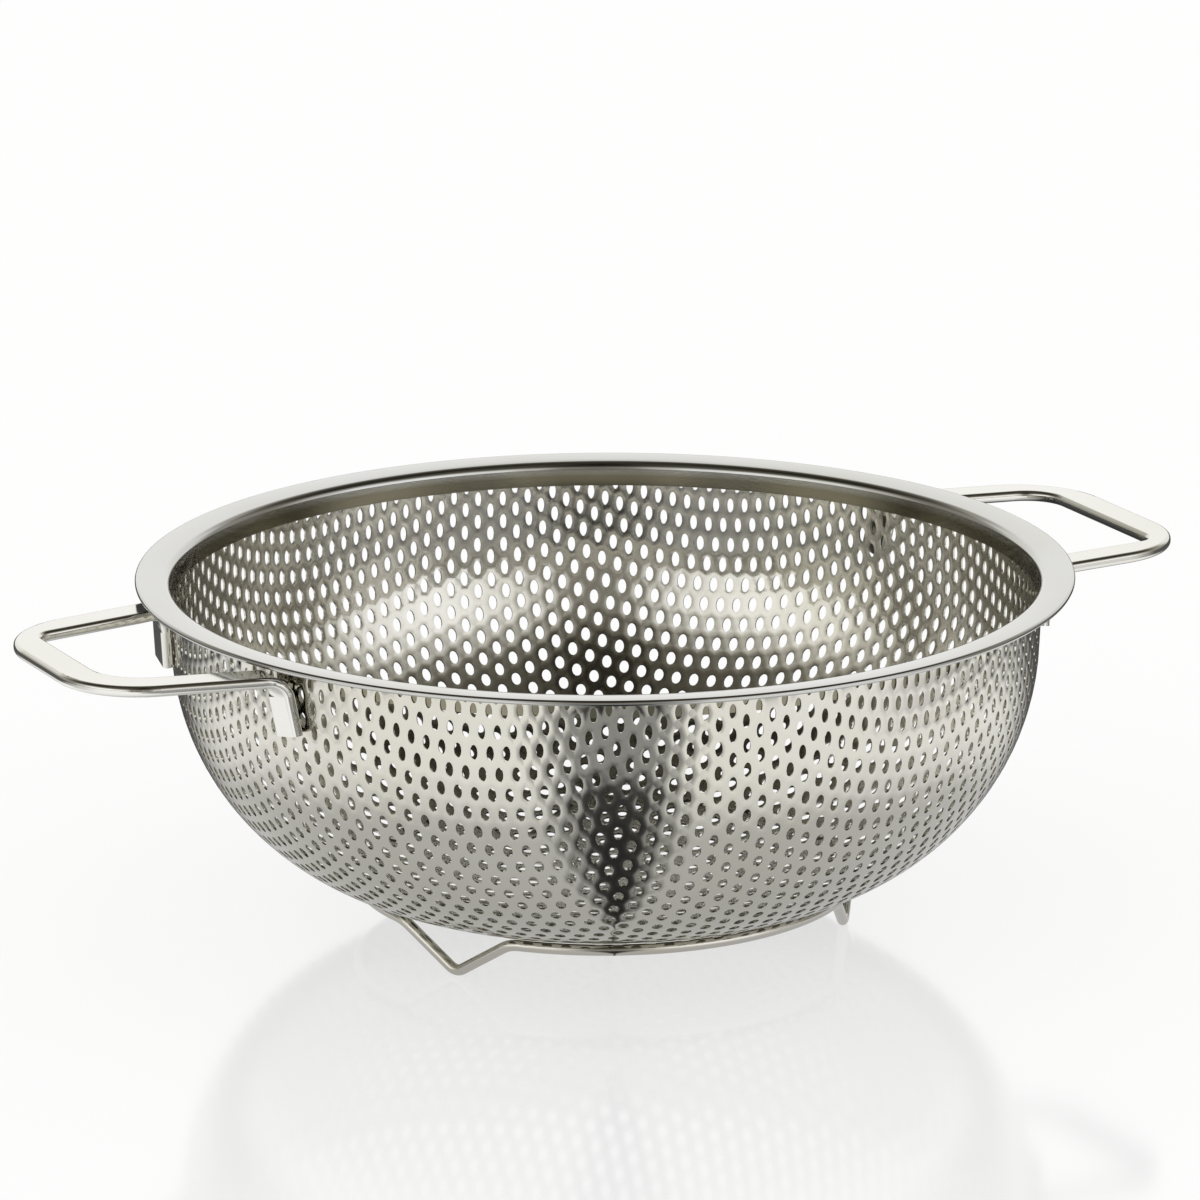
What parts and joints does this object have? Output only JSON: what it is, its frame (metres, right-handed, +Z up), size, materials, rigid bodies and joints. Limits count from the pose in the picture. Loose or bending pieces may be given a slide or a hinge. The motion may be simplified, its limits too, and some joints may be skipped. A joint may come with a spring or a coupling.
{
  "type": "colander",
  "caption": "Round stainless steel colander with a rolled rim ring, two flat strap handles and a bent wire stand.",
  "frame": {"origin": "on the worktop under the bowl's axis, at the level of the stand's feet", "axes": "+Z up along the bowl's axis, +X through the handle whose arms are further apart, the handles lie along X"},
  "size_m": [0.326, 0.25, 0.0965],
  "materials": {
    "satin_steel": "satin, pressed sheet",
    "polished_steel": "polished strap and wire"
  },
  "bodies": {
    "root": {"perforated_bowl": "satin_steel", "rim_ring": "satin_steel", "right_handle": "polished_steel", "left_handle": "polished_steel", "wire_stand": "polished_steel"}
  },
  "joints": []
}
